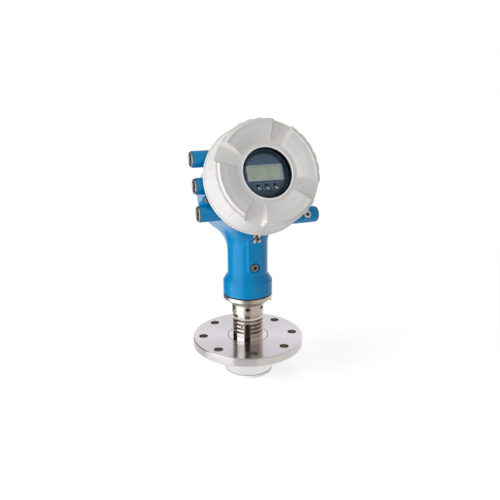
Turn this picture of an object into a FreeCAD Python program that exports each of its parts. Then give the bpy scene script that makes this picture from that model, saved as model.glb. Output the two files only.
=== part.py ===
"""Radar level transmitter on a DN100 flange: tilted two-chamber housing, grooved neck, flange and lens antenna."""

import FreeCAD
import Part
import math
import os

# Millimetres. Z is the neck axis and the display faces -Y. Heights below count from the sealing face of
# the flange; the finished pieces are lowered by the height of that raised face, so that z = 0 is where
# the bolt holes open.

# Clearances and shared gaps
FIT = 0.05            # radial clearance of turned parts that slide or turn in each other
PLAY = 0.3            # air between parts that only sit near each other

# Small screws that hold the carrier and the power module to the web between the chambers
SMALL_SCREW_R = 1.9
SMALL_HEAD_R = 3.4
SMALL_HEAD_H = 2.4
SMALL_SOCKET = 3.0
SCREW_REACH = 6.0     # thread length in the web

# Flange (DN100 PN16, form B1)
FLANGE_R = 110.0
FACE_H = 3.0
FACE_BORE_R = 52.0    # the face is relieved inside this radius, clear of the antenna
FACE_RELIEF = 0.5
FLANGE_TOP = 20.0
HOLE_TO_RIM = 20.0    # from the hole circle to the flange's edge
PITCH_R = FLANGE_R - HOLE_TO_RIM
HOLE_R = 9.0
FACE_R = PITCH_R - HOLE_R - 2  # raised sealing face
HOLE_COUNT = 8
HOLE_PHASE = 31.0     # degrees from +X to the first hole
EDGE_BREAK = 1.0

# Neck, turned together with its foot plate
FOOT_R = 40.0
NECK_R = 30.6
NECK_BORE_R = 16.0
GROOVE_R = 23.0       # deep fins that shed the heat of a hot vessel
GROOVE_W = 4.2
GROOVE_FIRST = 32.5
GROOVE_PITCH = 8.15
GROOVE_COUNT = 4
SPIGOT_R = 24.0
RELIEF_R = 28.2       # waist between the grooves and the adapter collar
RELIEF_Z0 = 66.5
COLLAR_Z0 = 70.8
SPIGOT_TOP = 94.0

# Adapter that carries the housing
COLLAR_R = 31.4
COLLAR_TOP = 91.5
DISC_R = 48.5
DISC_Z0 = 104.0
DISC_TOP = 110.8
ADAPTER_BORE_R = 17.0
STUB_R = 34.0         # journal that the housing turns on
STUB_TOP = 136.0
SET_SCREW_COUNT = 6
SET_SCREW_R = 2.9
SET_SCREW_Z = 84.5
LUG_W = 18.0
LUG_DEPTH = 8.5
LUG_ANGLE = -20.0

# Ring seal, retaining ring and swivel seal
SEAL_H = 2.4
SEAL_R = 47.6
CLIP_GROOVE_R = 31.5
CLIP_H = 2.0
CLIP_Z0 = 131.0
ORING = 2.6           # cord thickness of the swivel seal
ORING_Z0 = 118.0

# Housing: foot and column
BELL_Z0 = DISC_TOP + SEAL_H + FIT
BELL_R = 48.4
BELL_CONE_Z0 = 139.3
BELL_CONE_Z1 = 153.7
COLUMN_R = 39.2
COLUMN_BORE_R = 26.0
COLUMN_BORE_TOP = 262.0
BELL_EDGE = 2.5       # rounding above and below the cone of the bell
SHOULDER_Z = CLIP_Z0 - PLAY

# Housing: tilted head, in its own frame (x across, y up the display, z out through the window)
TILT = 23.0
DRUM_MID = 20.0
DRUM_R = 90.0
DRUM_TAPER = 12.0
DRUM_BACK_R = DRUM_R - DRUM_TAPER
DRUM_REACH = 39.0     # share of the drum's length behind the neck that the column needs
DRUM_BACK = -DRUM_REACH - DRUM_R / 2  # a wider drum is longer too, so that its back clears the column
SWEEP_R = 42.0
BLEND_R = SWEEP_R + DRUM_R / 5  # sweep from the column into the drum
UNDER_DRUM = 231.7    # from the sealing face up to the drum
HEAD_Z = UNDER_DRUM + DRUM_R  # where the head axis crosses the neck axis
DRUM_FRONT = 58.4
DRUM_EDGE = 4.0
SPOUT_STEP = 4.0
SPOUT_R = DRUM_R - SPOUT_STEP  # core of the thread that carries the front cover
SPOUT_TOP = 74.0
THREAD_DEPTH = 1.2
LAND_R = SPOUT_R + THREAD_DEPTH + PLAY  # smooth land behind the thread, where the cover seals
LAND_TOP = 65.0
SPOUT_WALL = 9.0
FRONT_CHAMBER_R = SPOUT_R - SPOUT_WALL
FRONT_FLOOR = 6.0
REAR_WALL = 14.0      # casting around the rear cover's thread
REAR_SPIGOT_R = DRUM_BACK_R - REAR_WALL
REAR_CHAMBER_R = REAR_SPIGOT_R - 4
REAR_FLOOR = -6.0
PASSAGE_R = 9.0
PASSAGE_Y = REAR_CHAMBER_R - 8

# Cable entries
BOSS_R = 15.1
BOSS_ROOT = 20.0      # where the bosses start inside the drum
BOSS_DEPTH = 39.0     # head z of every entry axis
LEFT_ENTRIES = (49.0, 0.0, -49.5)
LEFT_OUT = 20.0       # how far the left bosses stand out of the drum
LEFT_END = DRUM_R + LEFT_OUT
RIGHT_ENTRIES = (31.0, -18.5, -68.0)
RIGHT_OUT = 21.5
RIGHT_END = DRUM_R + RIGHT_OUT
ENTRY_R = 12.5        # M25
ENTRY_ROOT = 38.0     # inner end of the entry holes
PLUG_HEAD_R = 13.7
PLUG_HEAD_H = 2.4
PLUG_SHANK = 13.0
PLUG_HEX = 10.0
WASHER_H = 0.8

# Screw lugs on the drum
LUG_R = 9.0
LUG_ROOT = 26.0
LUG_THREAD_R = 3.0
LUG_THREAD_DEPTH = 12.0
LOCK_LUG_ANGLE = 196.6
LOCK_LUG_OUT = 10.0   # from the drum's wall to the screw axis
LOCK_LUG_FRONT = 54.0
EARTH_LUG_ANGLE = -38.7
EARTH_LUG_OUT = 22.8
EARTH_LUG_FRONT = 57.0

# Pad on the column with its two screws
PAD_W = 30.0
PAD_FACE = 43.0
PAD_Z0 = 164.0
PAD_OVER = 18.0       # how far the pad runs up past the clamp
PAD_CORNER = 8.0
PAD_EDGE = 3.5
PAD_SCREW_Z = 173.7
COUNTERBORE_R = 10.0
COUNTERBORE_DEPTH = 5.0
CLAMP_X = 2.6
CLAMP_UNDER_HEAD = 89.7
CLAMP_Z = HEAD_Z - CLAMP_UNDER_HEAD
CLAMP_R = 7.2
CLAMP_LOBE_R = 3.0
CLAMP_LOBE_PITCH_R = 6.6

# Front cover, in the head frame
LIP_Z0 = 59.0
LIP_Z1 = 63.0
LIP_OUT = 10.7        # from the drum's wall to the lip
LIP_R = DRUM_R + LIP_OUT
WALL_BACK_R = LIP_R - 2.3
WALL_FRONT_R = LIP_R - 5.9
RIM_Z = 119.0
RIM_LEDGE_W = 4.6     # scalloped ledge outside the ridge
RIM_LEDGE_R = WALL_FRONT_R - RIM_LEDGE_W
RIDGE_Z = 124.0
RIDGE_W = 2.4
RIDGE_R1 = RIM_LEDGE_R - 1.8
RIDGE_R0 = RIDGE_R1 - RIDGE_W
RIDGE_STEP = 1.3      # height of the ridge over the lobe behind it
LOBE_W = 12.0
LOBE_R = RIDGE_R0 - LOBE_W  # inside this radius the lobe falls toward the window
LOBE_FALL = 1.2       # drop of the lobe from the ridge to that radius
DISH_Z = 117.2
BEZEL_R = 54.0
DISH_R = BEZEL_R + 0.35 * (LOBE_R - BEZEL_R)
BEZEL_Z = 113.5
WINDOW_R = 44.9
WINDOW_RIM_R = 47.6
WINDOW_RIM_Z = 114.6
COVER_CAVITY_R = SPOUT_R - 5
COVER_CAVITY_Z = 101.5
COVER_BORE_TOP = 77.0
HUB_R = 58.0
HUB_Z = 96.5
CHANNEL_COUNT = 4
CHANNEL_ANGLE = 65.0
CHANNEL_IN_W = 22.0   # floor width at the bezel
CHANNEL_OUT_W = 28.0  # floor width at the rim
CHANNEL_DRAFT = 27.0  # degrees that each channel wall leans outward
CHANNEL_FALL = 2.5    # drop of the channel floor from the bezel to the rim
GRIP_PER_LOBE = 5
GRIP_PITCH = 12.0
GRIP_DEPTH = 1.9
GRIP_HALF_W = 8.0     # half the width of a grip valley where it leaves the skirt
COVER_SEAL_CORD = 2.2
COVER_SEAL_Z = 61.0

# Window pack inside the front cover
GLASS_R = 50.0
GLASS_H = 6.0
GLASS_TOP = 111.7
GLASS_SEAL_H = 1.2
RETAINER_H = 5.0
RETAINER_IN_R = 45.5

# Display module
FACE_Z = 98.7
FACE_PLATE_R = 41.0
FACE_PLATE_H = 3.0
MODULE_R = 46.0
MODULE_BACK = 76.0
SCREEN_W = 66.0
SCREEN_H = 28.0
SCREEN_Y = 3.0
FRAME_WALL = 2.2
FRAME_PROUD = 1.4
SCREEN_SUNK = 0.8
KEY_SIZE = 13.0
KEY_PITCH = 16.0
KEY_Y = -21.0
KEY_PROUD = 0.5
LEDGE_H = 4.0         # shelf in the case that carries the face plate and the board
BOARD_R = 40.0
BOARD_H = 1.6
STANDOFF_R = 3.5
STANDOFF_PITCH_R = 39.0

# Carrier, boards and terminals in the front chamber
CARRIER_MARGIN = 4.0
CARRIER_R = FRONT_CHAMBER_R - CARRIER_MARGIN
CARRIER_H = 6.0
CARRIER_Z0 = FRONT_FLOOR
CARRIER_GAP_W = 32.0  # opening in the carrier for the column's wires
CARRIER_GAP_DEPTH = 29.0
CARRIER_GAP_Y = CARRIER_GAP_DEPTH - CARRIER_R
RIB_X = 16.0
RIB_T = 3.0
RIB_Y0 = -30.0
RIB_Y1 = 36.0
RIB_H = 44.0
MAIN_BOARD_LIFT = 30.0
MAIN_BOARD_MARGIN = 2.0
CHIP_H = 3.4
CAP_H = 7.4
TERMINAL_W = 17.0
TERMINAL_L = CARRIER_R + 11
TERMINAL_H = 16.0
TERMINAL_GAP = 0.031  # air between the block's outer corners and the chamber's wall
TERMINAL_OUT = math.sqrt((FRONT_CHAMBER_R - TERMINAL_GAP) ** 2 - (TERMINAL_L / 2) ** 2)
TERMINAL_X = TERMINAL_W / 2 - TERMINAL_OUT
TERMINAL_COUNT = 8
TERMINAL_SCREW_R = 2.6
CARRIER_SCREW_R = CARRIER_R - 11
CARRIER_SCREWS = ((CARRIER_SCREW_R, 0.0), (-20.0, CARRIER_SCREW_R), (-34.0, 4 - CARRIER_SCREW_R))

# Rear chamber
REAR_COVER_MARGIN = 6.0
REAR_COVER_R = DRUM_BACK_R - REAR_COVER_MARGIN
REAR_COVER_H = 15.0
REAR_SPIGOT_H = 14.0
REAR_SPIGOT_WALL = 6.0
REAR_LAND_H = 3.5     # plain land between the rear cover and its thread
REAR_NOTCHES = 4
REAR_NOTCH_W = 14.0
REAR_NOTCH_DEPTH = 5.0
REAR_SEAL_CORD = 2.2
POWER_R = REAR_CHAMBER_R - 6
POWER_BACK_GAP = 22.0
POWER_Z0 = DRUM_BACK + POWER_BACK_GAP
POWER_SCREW_X = POWER_R - 10
POWER_SCREWS = ((POWER_SCREW_X, 0.0), (-POWER_SCREW_X, 0.0))
POWER_NOTCH_W = 44.0
POWER_NOTCH_Y = 20 - POWER_R

# Below the flange
HORN_R = 48.9
HORN_BOTTOM = -47.5
HORN_MOUTH_R = 43.0
HORN_THROAT_R = 8.0
HORN_THROAT_Z = -10.0
LENS_BOTTOM = -54.0
LENS_DOME = 15.0
LENS_STEP_H = 5.0
LENS_SEAL_H = 1.2
GUIDE_R = 6.0
GUIDE_BORE_R = 4.5
RADAR_R = 15.0
RADAR_RIM_H = 3.0     # rim of the radar module that rests on the neck
RADAR_TOP = 133.0


def vec(x, y, z):
    return FreeCAD.Vector(x, y, z)


def turned(points):
    """Solid of revolution about Z from (radius, height) corners."""
    corners = [vec(r, 0, z) for r, z in points]
    outline = Part.makePolygon(corners + corners[:1])
    return Part.Face(outline).revolve(vec(0, 0, 0), vec(0, 0, 1), 360)


def disc(radius, z0, z1, x=0.0, y=0.0):
    return Part.makeCylinder(radius, z1 - z0, vec(x, y, z0))


def ring(inner, outer, z0, z1):
    return disc(outer, z0, z1).cut(disc(inner, z0, z1))


def block(x0, x1, y0, y1, z0, z1):
    return Part.makeBox(x1 - x0, y1 - y0, z1 - z0, vec(x0, y0, z0))


def join(shapes):
    result = shapes[0]
    for shape in shapes[1:]:
        result = result.fuse(shape)
    return result.removeSplitter()


def spun(shape, degrees):
    copy = shape.copy()
    copy.rotate(vec(0, 0, 0), vec(0, 0, 1), degrees)
    return copy


def shifted(shape, x, y, z):
    copy = shape.copy()
    copy.translate(vec(x, y, z))
    return copy


def hex_bar(across_flats, z0, z1):
    radius = across_flats / math.sqrt(3)
    corners = []
    for k in range(7):
        turn = math.radians(60 * k)
        corners.append(vec(radius * math.cos(turn), radius * math.sin(turn), z0))
    return Part.Face(Part.makePolygon(corners)).extrude(vec(0, 0, z1 - z0))


def cord_ring(radius, cord, z0):
    """Ring seal with a square-cut cord."""
    return ring(radius, radius + cord, z0, z0 + cord)


def in_head(shape):
    """Move a shape from the head frame to its tilted place above the neck."""
    tilt = FreeCAD.Placement(vec(0, 0, HEAD_Z), FreeCAD.Rotation(vec(1, 0, 0), 90 - TILT))
    copy = shape.copy()
    copy.Placement = tilt.multiply(copy.Placement)
    return copy


def along_x(shape, side, end, y, z):
    """Lay a part that was drawn along Z on an entry axis, its z = 0 at the boss end, its +Z outward."""
    copy = shape.copy()
    copy.rotate(vec(0, 0, 0), vec(0, 1, 0), 90 * side)
    return shifted(copy, side * end, y, z)


def facing_front(shape, x, z):
    """Turn a part that was drawn along Z so that its +Z looks along -Y from the pad face."""
    copy = shape.copy()
    copy.rotate(vec(0, 0, 0), vec(1, 0, 0), 90)
    return shifted(copy, x, -PAD_FACE, z)


def socket_screw(head_r, head_h, shank_r, shank_l, socket):
    """Socket-head screw: the head stands on z = 0 and the shank points down."""
    head = turned([(0, 0), (head_r, 0), (head_r, head_h - 0.6), (head_r - 0.6, head_h), (0, head_h)])
    screw = head.fuse(disc(shank_r, -shank_l, 0))
    return screw.cut(hex_bar(socket, head_h * 0.35, head_h + 1)).removeSplitter()


def small_screws(places, grip):
    """Socket screws that stand on z = 0 of their places and hold a part of the given thickness."""
    screw = socket_screw(SMALL_HEAD_R, SMALL_HEAD_H, SMALL_SCREW_R, grip + SCREW_REACH, SMALL_SOCKET)
    return [shifted(screw, x, y, 0) for x, y in places]


def screw_holes(places, z0, z1):
    return [disc(SMALL_SCREW_R + FIT, z0, z1, x, y) for x, y in places]


def entries():
    places = [(-1, LEFT_END, y) for y in LEFT_ENTRIES]
    return places + [(1, RIGHT_END, y) for y in RIGHT_ENTRIES]


def flange():
    body = turned([
        (FOOT_R + FIT, FACE_RELIEF), (FACE_BORE_R, FACE_RELIEF), (FACE_BORE_R, 0),
        (FACE_R, 0), (FACE_R, FACE_H),
        (FLANGE_R - EDGE_BREAK, FACE_H),
        (FLANGE_R, FACE_H + EDGE_BREAK), (FLANGE_R, FLANGE_TOP - EDGE_BREAK),
        (FLANGE_R - EDGE_BREAK, FLANGE_TOP), (FOOT_R + FIT + 0.5, FLANGE_TOP),
        (FOOT_R + FIT, FLANGE_TOP - 0.5),
    ])
    hole = disc(HOLE_R, -1, FLANGE_TOP + 1, PITCH_R)
    for k in range(HOLE_COUNT):
        body = body.cut(spun(hole, HOLE_PHASE + k * 360 / HOLE_COUNT))
    return body


def neck():
    outline = [(NECK_BORE_R, 0), (FOOT_R, 0), (FOOT_R, FLANGE_TOP - 0.5), (FOOT_R - 0.5, FLANGE_TOP)]
    outline.append((NECK_R, FLANGE_TOP))
    for k in range(GROOVE_COUNT):
        low = GROOVE_FIRST + k * GROOVE_PITCH
        outline += [(NECK_R, low), (GROOVE_R, low + 0.6)]
        outline += [(GROOVE_R, low + GROOVE_W - 0.6), (NECK_R, low + GROOVE_W)]
    outline += [(NECK_R, RELIEF_Z0 - 0.8), (NECK_R - 0.8, RELIEF_Z0), (RELIEF_R, RELIEF_Z0)]
    outline += [(RELIEF_R, COLLAR_Z0), (SPIGOT_R, COLLAR_Z0)]
    outline += [(SPIGOT_R, SPIGOT_TOP), (NECK_BORE_R, SPIGOT_TOP)]
    return turned(outline)


def set_screw_holes():
    hole = Part.makeCylinder(SET_SCREW_R, COLLAR_R, vec(SPIGOT_R, 0, SET_SCREW_Z), vec(1, 0, 0))
    return [spun(hole, 360 / SET_SCREW_COUNT * k + LUG_ANGLE + 30) for k in range(SET_SCREW_COUNT)]


def adapter():
    body = turned([
        (SPIGOT_R + FIT, COLLAR_Z0), (COLLAR_R - 1, COLLAR_Z0), (COLLAR_R, COLLAR_Z0 + 1),
        (COLLAR_R, COLLAR_TOP),
        (COLLAR_R + 2.5, COLLAR_TOP), (DISC_R, DISC_Z0), (DISC_R, DISC_TOP), (STUB_R, DISC_TOP),
        (STUB_R, ORING_Z0), (STUB_R - ORING, ORING_Z0), (STUB_R - ORING, ORING_Z0 + ORING),
        (STUB_R, ORING_Z0 + ORING), (STUB_R, CLIP_Z0), (CLIP_GROOVE_R, CLIP_Z0),
        (CLIP_GROOVE_R, CLIP_Z0 + CLIP_H), (STUB_R, CLIP_Z0 + CLIP_H), (STUB_R, STUB_TOP - 1),
        (STUB_R - 1, STUB_TOP), (ADAPTER_BORE_R, STUB_TOP), (ADAPTER_BORE_R, SPIGOT_TOP + PLAY),
        (SPIGOT_R + FIT, SPIGOT_TOP + PLAY),
    ])
    lug = block(COLLAR_R, DISC_R - 2, -LUG_W / 2, LUG_W / 2, DISC_TOP - LUG_DEPTH - 5, DISC_TOP - 1)
    body = join([body, spun(lug, LUG_ANGLE)])
    for hole in set_screw_holes():
        body = body.cut(hole)
    return body


def set_screws():
    tip = SPIGOT_R
    length = COLLAR_R - tip - 3.0
    screw = Part.makeCylinder(SET_SCREW_R - FIT, length, vec(0, 0, 0))
    screw = screw.cut(hex_bar(SET_SCREW_R, length - 2, length + 1))
    screw.rotate(vec(0, 0, 0), vec(0, 1, 0), 90)
    screw = shifted(screw, tip + 0.02, 0, SET_SCREW_Z)
    turns = [360 / SET_SCREW_COUNT * k + LUG_ANGLE + 30 for k in range(SET_SCREW_COUNT)]
    return Part.makeCompound([spun(screw, turn) for turn in turns])


def bell_seal():
    return ring(STUB_R + FIT, SEAL_R, DISC_TOP, DISC_TOP + SEAL_H)


def swivel_seal():
    return ring(STUB_R - ORING + FIT, STUB_R, ORING_Z0 + 0.05, ORING_Z0 + ORING - 0.05)


def retaining_ring():
    body = ring(CLIP_GROOVE_R + FIT, STUB_R + 4, CLIP_Z0 + 0.1, CLIP_Z0 + CLIP_H - 0.1)
    return body.cut(block(0, STUB_R + 10, -3, 3, CLIP_Z0 - 1, CLIP_Z0 + CLIP_H + 1))


def drum_blank():
    return turned([
        (0, DRUM_BACK), (DRUM_BACK_R - DRUM_EDGE, DRUM_BACK), (DRUM_BACK_R, DRUM_BACK + DRUM_EDGE),
        (DRUM_R, DRUM_MID), (DRUM_R, DRUM_FRONT), (0, DRUM_FRONT),
    ])


def column_to_drum():
    """Drum on its column with the wide sweep between them."""
    column = disc(COLUMN_R, BELL_CONE_Z0, HEAD_Z)
    body = in_head(drum_blank()).fuse(column).removeSplitter()
    seam = []
    for edge in body.Edges:
        box = edge.BoundBox
        if box.ZMin > BELL_CONE_Z1 and box.ZMax < HEAD_Z and abs(box.XMax - COLUMN_R) < 1:
            seam.append(edge)
    return body.makeFillet(BLEND_R, seam)


def bell():
    return turned([
        (0, BELL_Z0), (BELL_R - 0.6, BELL_Z0), (BELL_R, BELL_Z0 + 0.6), (BELL_R, BELL_CONE_Z0),
        (COLUMN_R, BELL_CONE_Z1), (0, BELL_CONE_Z1),
    ])


def round_bell(body):
    """Round the two circles that bound the cone of the bell."""
    circles = []
    for edge in body.Edges:
        box = edge.BoundBox
        level = box.ZLength < 0.01 and box.XLength > COLUMN_R
        if level and (abs(box.ZMin - BELL_CONE_Z0) < 0.01 or abs(box.ZMin - BELL_CONE_Z1) < 0.01):
            circles.append(edge)
    return body.makeFillet(BELL_EDGE, circles)


def pad():
    """Flat-faced strip on the front of the column, its lower corners and front edges rounded."""
    top = CLAMP_Z + PAD_OVER
    body = block(-PAD_W / 2, PAD_W / 2, -PAD_FACE, -PAD_FACE / 2, PAD_Z0, top)
    corners = []
    for edge in body.Edges:
        box = edge.BoundBox
        if box.ZMax < PAD_Z0 + 1 and box.XLength < 1:
            corners.append(edge)
    body = body.makeFillet(PAD_CORNER, corners)
    rim = []
    for edge in body.Edges:
        box = edge.BoundBox
        if box.YMax < -PAD_FACE + 0.01 and box.ZMin < top - 1:
            rim.append(edge)
    return body.makeFillet(PAD_EDGE, rim)


def entry_boss(side, end, y):
    boss = Part.makeCylinder(BOSS_R, end - BOSS_ROOT, vec(0, 0, BOSS_ROOT - end))
    boss = boss.makeFillet(0.8, [e for e in boss.Edges if e.BoundBox.ZMin > -1])
    return along_x(boss, side, end, y, BOSS_DEPTH)


def lug_places():
    """Angle, distance from the head axis and front height of the lock screw's and the earth screw's lug."""
    lock = (LOCK_LUG_ANGLE, DRUM_R + LOCK_LUG_OUT, LOCK_LUG_FRONT)
    earth = (EARTH_LUG_ANGLE, DRUM_R + EARTH_LUG_OUT, EARTH_LUG_FRONT)
    return lock, earth


def screw_lug(angle, reach, front):
    lug = disc(LUG_R, LUG_ROOT, front, reach)
    inward = block(reach / 2, reach, -LUG_R * 0.8, LUG_R * 0.8, LUG_ROOT, front - 3)
    return spun(lug.fuse(inward), angle)


def housing():
    head_extras = [disc(SPOUT_R, DRUM_FRONT - 5, SPOUT_TOP), disc(LAND_R, DRUM_FRONT - 5, LAND_TOP)]
    for side, end, y in entries():
        head_extras.append(entry_boss(side, end, y))
    for place in lug_places():
        head_extras.append(screw_lug(*place))
    casting = round_bell(join([column_to_drum(), bell()]))
    body = join([casting, pad()] + [in_head(extra) for extra in head_extras])

    cuts = [disc(FRONT_CHAMBER_R, FRONT_FLOOR, SPOUT_TOP + 1)]
    cuts.append(disc(REAR_CHAMBER_R, DRUM_BACK - 1, REAR_FLOOR))
    cuts.append(disc(REAR_SPIGOT_R + FIT, DRUM_BACK - 1, DRUM_BACK + REAR_SPIGOT_H + PLAY))
    cuts.append(disc(PASSAGE_R, REAR_FLOOR - 1, FRONT_FLOOR + 1, 0, PASSAGE_Y))
    for side, end, y in entries():
        bore = Part.makeCylinder(ENTRY_R, end - ENTRY_ROOT, vec(0, 0, ENTRY_ROOT - end))
        cuts.append(along_x(bore, side, end + 1, y, BOSS_DEPTH))
    for angle, reach, front in lug_places():
        cuts.append(spun(disc(LUG_THREAD_R, front - LUG_THREAD_DEPTH, front + 1, reach), angle))
    cuts += screw_holes(CARRIER_SCREWS, FRONT_FLOOR - SCREW_REACH - 1, FRONT_FLOOR + 1)
    cuts += screw_holes(POWER_SCREWS, REAR_FLOOR - 1, REAR_FLOOR + SCREW_REACH + 1)
    cuts = [in_head(cut) for cut in cuts]
    cuts.append(disc(STUB_R + FIT, BELL_Z0 - 1, SHOULDER_Z))
    cuts.append(disc(STUB_R + 4 + PLAY, SHOULDER_Z, STUB_TOP + 4))
    cuts.append(disc(COLUMN_BORE_R, STUB_TOP, COLUMN_BORE_TOP))
    cuts.append(facing_front(disc(COUNTERBORE_R, -COUNTERBORE_DEPTH, 5), 0, PAD_SCREW_Z))
    cuts.append(facing_front(disc(4.0, -13, 1), 0, PAD_SCREW_Z))
    cuts.append(facing_front(disc(3.0, -13, 1), CLAMP_X, CLAMP_Z))
    cuts.append(facing_front(disc(CLAMP_LOBE_PITCH_R + CLAMP_LOBE_R + PLAY, 0, DRUM_R), CLAMP_X, CLAMP_Z))
    for cut in cuts:
        body = body.cut(cut)
    return body


def entry_plugs():
    plug = disc(ENTRY_R - FIT, -PLUG_SHANK, 0)
    head = turned([
        (0, 0), (PLUG_HEAD_R, 0), (PLUG_HEAD_R, PLUG_HEAD_H - 0.6), (PLUG_HEAD_R - 0.6, PLUG_HEAD_H),
        (PLUG_HEAD_R - 3, PLUG_HEAD_H), (PLUG_HEAD_R - 4, PLUG_HEAD_H - 0.8), (0, PLUG_HEAD_H - 0.8),
    ])
    plug = plug.fuse(head).cut(hex_bar(PLUG_HEX, -6, PLUG_HEAD_H + 1)).removeSplitter()
    plug = shifted(plug, 0, 0, WASHER_H)
    return Part.makeCompound([in_head(along_x(plug, s, end, y, BOSS_DEPTH)) for s, end, y in entries()])


def plug_washers():
    washer = ring(ENTRY_R + PLAY, PLUG_HEAD_R + 0.6, 0, WASHER_H)
    return Part.makeCompound([in_head(along_x(washer, s, end, y, BOSS_DEPTH)) for s, end, y in entries()])


def lug_screw(place, head_r):
    angle, reach, front = place
    screw = socket_screw(head_r, 2.6, LUG_THREAD_R - FIT, LUG_THREAD_DEPTH - 1, head_r)
    return in_head(spun(shifted(screw, reach, 0, front), angle))


def lock_screw():
    return lug_screw(lug_places()[0], 5.4)


def earth_screw():
    return lug_screw(lug_places()[1], 6.6)


def pad_screw():
    screw = socket_screw(7.5, 4.2, 4.0 - FIT, 6, 7.0)
    return facing_front(shifted(screw, 0, 0, -COUNTERBORE_DEPTH), 0, PAD_SCREW_Z)


def clamp_plate():
    """Pressed clamp of the upper ground terminal with four lobes bent round the wire."""
    body = disc(CLAMP_R, 0, 1.6)
    lobe = disc(CLAMP_LOBE_R, 0, 2.8, CLAMP_LOBE_PITCH_R)
    for k in range(4):
        body = body.fuse(spun(lobe, 45 + 90 * k))
    body = body.removeSplitter().cut(disc(3.0 + FIT, -1, 4))
    return facing_front(body, CLAMP_X, CLAMP_Z)


def clamp_screw():
    screw = shifted(socket_screw(5.0, 3.2, 3.0 - FIT, 9, 4.5), 0, 0, 2.85)
    return facing_front(screw, CLAMP_X, CLAMP_Z)


def cover_blank():
    """Turned form of the front cover: skirt with its back lip, dished face, window hub and hollow."""
    bore_r = LAND_R + FIT
    seal_r = bore_r + COVER_SEAL_CORD
    hub_floor = GLASS_TOP - GLASS_H - GLASS_SEAL_H - RETAINER_H
    lobe_z = RIDGE_Z - RIDGE_STEP
    return turned([
        (bore_r, LIP_Z0), (LIP_R, LIP_Z0), (LIP_R, LIP_Z1 - 0.6), (LIP_R - 0.8, LIP_Z1),
        (WALL_BACK_R - 0.8, LIP_Z1), (WALL_BACK_R, LIP_Z1 + 1.4), (WALL_FRONT_R, RIM_Z),
        (RIM_LEDGE_R, RIM_Z + 0.5), (RIDGE_R1, RIDGE_Z), (RIDGE_R0, RIDGE_Z),
        (RIDGE_R0 - RIDGE_STEP, lobe_z), (LOBE_R, lobe_z - LOBE_FALL), (DISH_R, DISH_Z),
        (BEZEL_R, BEZEL_Z), (WINDOW_RIM_R, BEZEL_Z),
        (WINDOW_RIM_R - 0.8, WINDOW_RIM_Z), (WINDOW_R + 0.8, WINDOW_RIM_Z), (WINDOW_R, WINDOW_RIM_Z - 0.8),
        (WINDOW_R, GLASS_TOP), (GLASS_R + FIT, GLASS_TOP), (GLASS_R + FIT, min(hub_floor, HUB_Z)),
        (HUB_R, min(hub_floor, HUB_Z)), (HUB_R, COVER_CAVITY_Z), (COVER_CAVITY_R - 6, COVER_CAVITY_Z),
        (COVER_CAVITY_R, COVER_CAVITY_Z - 6), (COVER_CAVITY_R, COVER_BORE_TOP), (bore_r, COVER_BORE_TOP),
        (bore_r, COVER_SEAL_Z + COVER_SEAL_CORD), (seal_r, COVER_SEAL_Z + COVER_SEAL_CORD),
        (seal_r, COVER_SEAL_Z), (bore_r, COVER_SEAL_Z),
    ])


def channel_cut():
    """One radial channel: a trapezoid that widens toward the rim, its floor falling outward."""
    lean = math.tan(math.radians(CHANNEL_DRAFT))
    sections = []
    for radius, width, floor in (
        (BEZEL_R - 6, CHANNEL_IN_W - 2, BEZEL_Z + 0.01),
        (LIP_R + 6, CHANNEL_OUT_W + 3, BEZEL_Z - CHANNEL_FALL),
    ):
        top = RIDGE_Z + 6
        spread = width / 2 + lean * (top - floor)
        corners = [(-width / 2, floor), (width / 2, floor), (spread, top), (-spread, top)]
        corners.append(corners[0])
        sections.append(Part.makePolygon([vec(radius, y, z) for y, z in corners]))
    return Part.makeLoft(sections, True, True)


def grip_cut():
    """Shallow valley in the skirt between two finger pads, deepest at the rim."""
    foot_r = WALL_BACK_R - 0.3
    rim_r = WALL_FRONT_R - GRIP_DEPTH
    spread = GRIP_HALF_W * (1 + LIP_R / WALL_FRONT_R)
    outer = rim_r + GRIP_DEPTH * spread / GRIP_HALF_W
    corners = [vec(rim_r, 0, 0), vec(outer, -spread, 0), vec(outer, spread, 0)]
    lean = math.degrees(math.atan2(foot_r - rim_r, RIM_Z - LIP_Z1))
    notch = Part.Face(Part.makePolygon(corners + corners[:1])).extrude(vec(0, 0, RIDGE_Z + 4 - LIP_Z1))
    notch.rotate(vec(0, 0, 0), vec(0, 1, 0), -lean)
    return shifted(notch, foot_r - rim_r, 0, LIP_Z1)


def front_cover():
    body = cover_blank()
    channel = channel_cut()
    notch = grip_cut()
    cuts = []
    for k in range(CHANNEL_COUNT):
        turn = CHANNEL_ANGLE + k * 360 / CHANNEL_COUNT
        cuts.append(spun(channel, turn))
        for j in range(GRIP_PER_LOBE):
            offset = (j - (GRIP_PER_LOBE - 1) / 2) * GRIP_PITCH
            cuts.append(spun(notch, turn + 180 / CHANNEL_COUNT + offset))
    return in_head(body.cut(cuts))


def front_cover_seal():
    inner = LAND_R + FIT
    low = COVER_SEAL_Z + FIT
    return in_head(ring(inner, inner + COVER_SEAL_CORD - 2 * FIT, low, low + COVER_SEAL_CORD - 2 * FIT))


def window_glass():
    return in_head(disc(GLASS_R, GLASS_TOP - GLASS_H, GLASS_TOP))


def glass_seal():
    top = GLASS_TOP - GLASS_H
    return in_head(ring(RETAINER_IN_R, GLASS_R, top - GLASS_SEAL_H, top))


def glass_retainer():
    top = GLASS_TOP - GLASS_H - GLASS_SEAL_H
    body = ring(RETAINER_IN_R, GLASS_R, top - RETAINER_H, top)
    for k in range(4):
        body = body.cut(spun(disc(1.5, top - RETAINER_H - 1, top - 2, (RETAINER_IN_R + GLASS_R) / 2), 90 * k))
    return in_head(body)


def screen_box(grow, z0, z1):
    return block(-SCREEN_W / 2 - grow, SCREEN_W / 2 + grow, SCREEN_Y - SCREEN_H / 2 - grow,
                 SCREEN_Y + SCREEN_H / 2 + grow, z0, z1)


def key_places():
    return [(KEY_PITCH * k, KEY_Y) for k in (-1, 0, 1)]


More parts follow.
